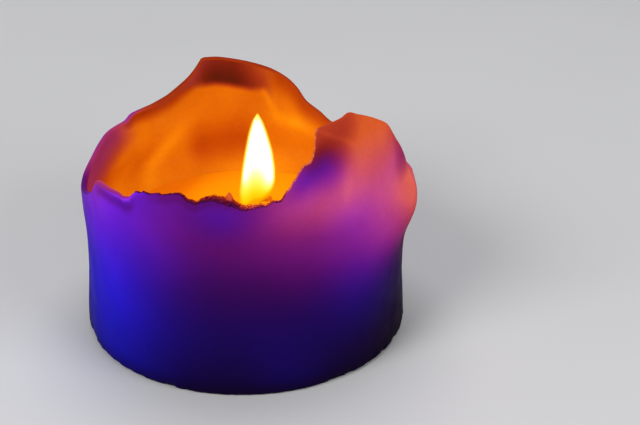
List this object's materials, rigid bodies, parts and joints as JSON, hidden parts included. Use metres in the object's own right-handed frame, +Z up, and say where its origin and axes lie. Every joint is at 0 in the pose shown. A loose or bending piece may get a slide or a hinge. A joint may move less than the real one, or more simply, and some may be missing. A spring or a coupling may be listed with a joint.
{
  "type": "melted candle",
  "caption": "Burnt-down pillar candle: a melted, torn wax shell round a deep well, with a charred wick curling over inside.",
  "frame": {"origin": "centre of the round base, on the candle's axis, on the surface it stands on", "axes": "+Z up along the candle's axis, -Y towards the low torn front edge, +X towards the tall lobe"},
  "size_m": [0.0841, 0.0837, 0.0684],
  "materials": {
    "wax": "smooth translucent wax, violet below, glowing orange where the shell is thin",
    "wick_cotton": "braided cotton, charred black above the wax",
    "tinned_steel": "tinned sheet steel, satin"
  },
  "bodies": {
    "root": {"wax_body": "wax", "wick": "wick_cotton", "wick_tab": "tinned_steel"}
  },
  "joints": []
}
